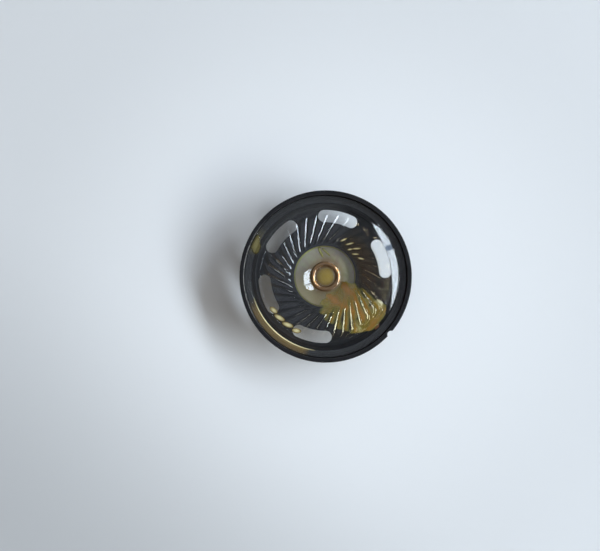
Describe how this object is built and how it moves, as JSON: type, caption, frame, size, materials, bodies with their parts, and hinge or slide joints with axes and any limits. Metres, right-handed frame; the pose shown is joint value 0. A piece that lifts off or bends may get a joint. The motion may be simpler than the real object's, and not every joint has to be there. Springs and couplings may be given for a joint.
{
  "type": "miniature loudspeaker",
  "caption": "Small round moving-coil loudspeaker with a clear swirl-ribbed film diaphragm, a vented black basket, a ring-magnet motor and solder tags",
  "frame": {"origin": "centre of the magnet assembly's rear face, on the speaker's axis", "axes": "+Z runs along the speaker's axis from the magnet to the front of the rim; +X and +Y cross it"},
  "size_m": [0.05, 0.05, 0.016],
  "materials": {
    "basket_plastic": "black moulded plastic, matte",
    "plated_steel": "zinc plated steel with a faint yellow-green passivation",
    "pole_steel": "yellow passivated steel",
    "ferrite": "dark grey sintered ferrite",
    "clear_glue": "hardened pale glue",
    "former_film": "thin amber former",
    "copper_wire": "enamelled copper wire",
    "coil_lacquer": "glossy copper-brown lacquer",
    "clear_film": "clear polyester film, glossy",
    "seat_adhesive": "dark adhesive ring",
    "lead_enamel": "brown enamelled copper",
    "amber_adhesive": "translucent amber adhesive",
    "red_sealant": "red-brown sealing drop",
    "phenolic_board": "tan paper laminate",
    "rivet_brass": "brass",
    "tinned_brass": "tinned brass strip",
    "solder": "bright solder"
  },
  "bodies": {
    "housing": {"basket": "basket_plastic", "back_plate": "plated_steel", "pole_piece": "pole_steel", "ring_magnet": "ferrite", "top_plate": "plated_steel", "top_plate_glue_bead": "clear_glue", "diaphragm_surround": "clear_film", "diaphragm_seat_ring": "seat_adhesive", "lead_wire_positive": "lead_enamel", "lead_wire_negative": "lead_enamel", "lead_adhesive": "amber_adhesive", "lead_exit_sealant": "red_sealant", "terminal_board": "phenolic_board", "board_rivets": "rivet_brass", "terminal_tag_positive": "tinned_brass", "terminal_tag_negative": "tinned_brass", "tag_rivets": "rivet_brass", "solder_joints": "solder"},
    "voice_coil_assembly": {"diaphragm_cone": "clear_film", "coil_former": "former_film", "voice_coil": "copper_wire", "coil_collar": "coil_lacquer"}
  },
  "joints": [
    {"name": "coil_travel", "type": "slide", "parent": "housing", "child": "voice_coil_assembly", "axis": [0, 0, 1], "range_m": [-0.0005, 0.0005], "stiffness_N_per_m": 900, "deforming": ["diaphragm_surround", "lead_wire_positive", "lead_wire_negative", "lead_adhesive"]}
  ]
}
